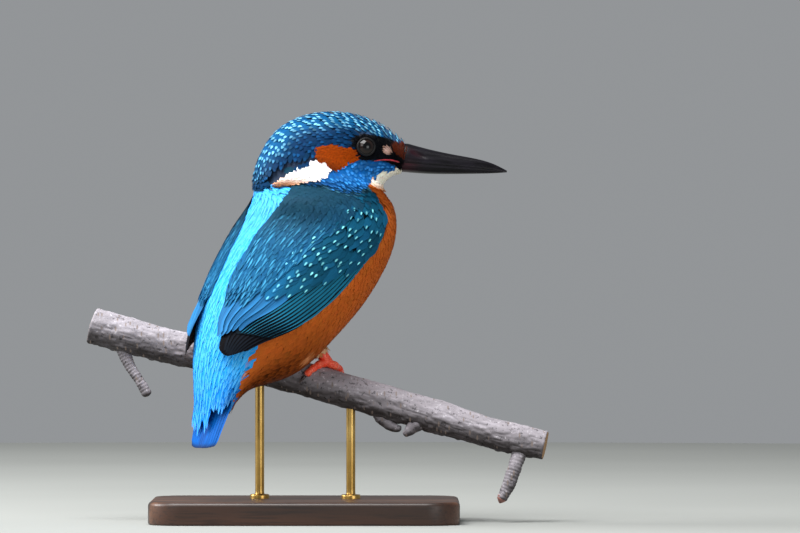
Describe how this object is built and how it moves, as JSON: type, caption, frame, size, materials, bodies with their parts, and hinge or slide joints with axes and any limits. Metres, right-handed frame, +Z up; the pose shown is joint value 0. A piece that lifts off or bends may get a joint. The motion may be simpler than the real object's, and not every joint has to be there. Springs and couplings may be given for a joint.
{
  "type": "common kingfisher perched on a branch, life-size model on a stand",
  "caption": "Life-size common kingfisher, head turned in profile, gripping a cut length of sloping branch that two short rods hold above a flat wooden stand.",
  "frame": {"origin": "centre of the underside of the stand's board, on the surface that it stands on", "axes": "+X the way the bill points and the branch's length, +Y away from the bird's right side, +Z up"},
  "size_m": [0.1622, 0.072, 0.1439],
  "materials": {
    "plumage_blue": "dark blue feathers with turquoise tips",
    "plumage_azure": "bright azure feathers of the back and tail",
    "plumage_teal": "dark teal wing feathers with pale turquoise spots",
    "plumage_orange": "chestnut orange feathers",
    "bill_horn": "black horn, satin",
    "claw_horn": "dark horn, satin",
    "eye": "dark brown, wet gloss",
    "foot_skin": "coral red scaly skin",
    "bark": "grey-brown bark with pale lichen",
    "stand_wood": "stained walnut, satin",
    "stand_brass": "satin brass"
  },
  "bodies": {
    "root": {"head": "plumage_blue", "neck": "plumage_blue", "trunk": "plumage_orange", "tail": "plumage_azure", "wing_left": "plumage_teal", "wing_right": "plumage_teal", "bill_upper": "bill_horn", "bill_lower": "bill_horn", "eye_left": "eye", "eye_right": "eye", "leg_left": "foot_skin", "leg_right": "foot_skin", "claw_left_hind": "claw_horn", "claw_left_inner": "claw_horn", "claw_left_middle": "claw_horn", "claw_left_outer": "claw_horn", "claw_right_hind": "claw_horn", "claw_right_inner": "claw_horn", "claw_right_middle": "claw_horn", "claw_right_outer": "claw_horn", "perch": "bark", "stand_base": "stand_wood", "stand_rod_left": "stand_brass", "stand_rod_right": "stand_brass"}
  },
  "joints": []
}
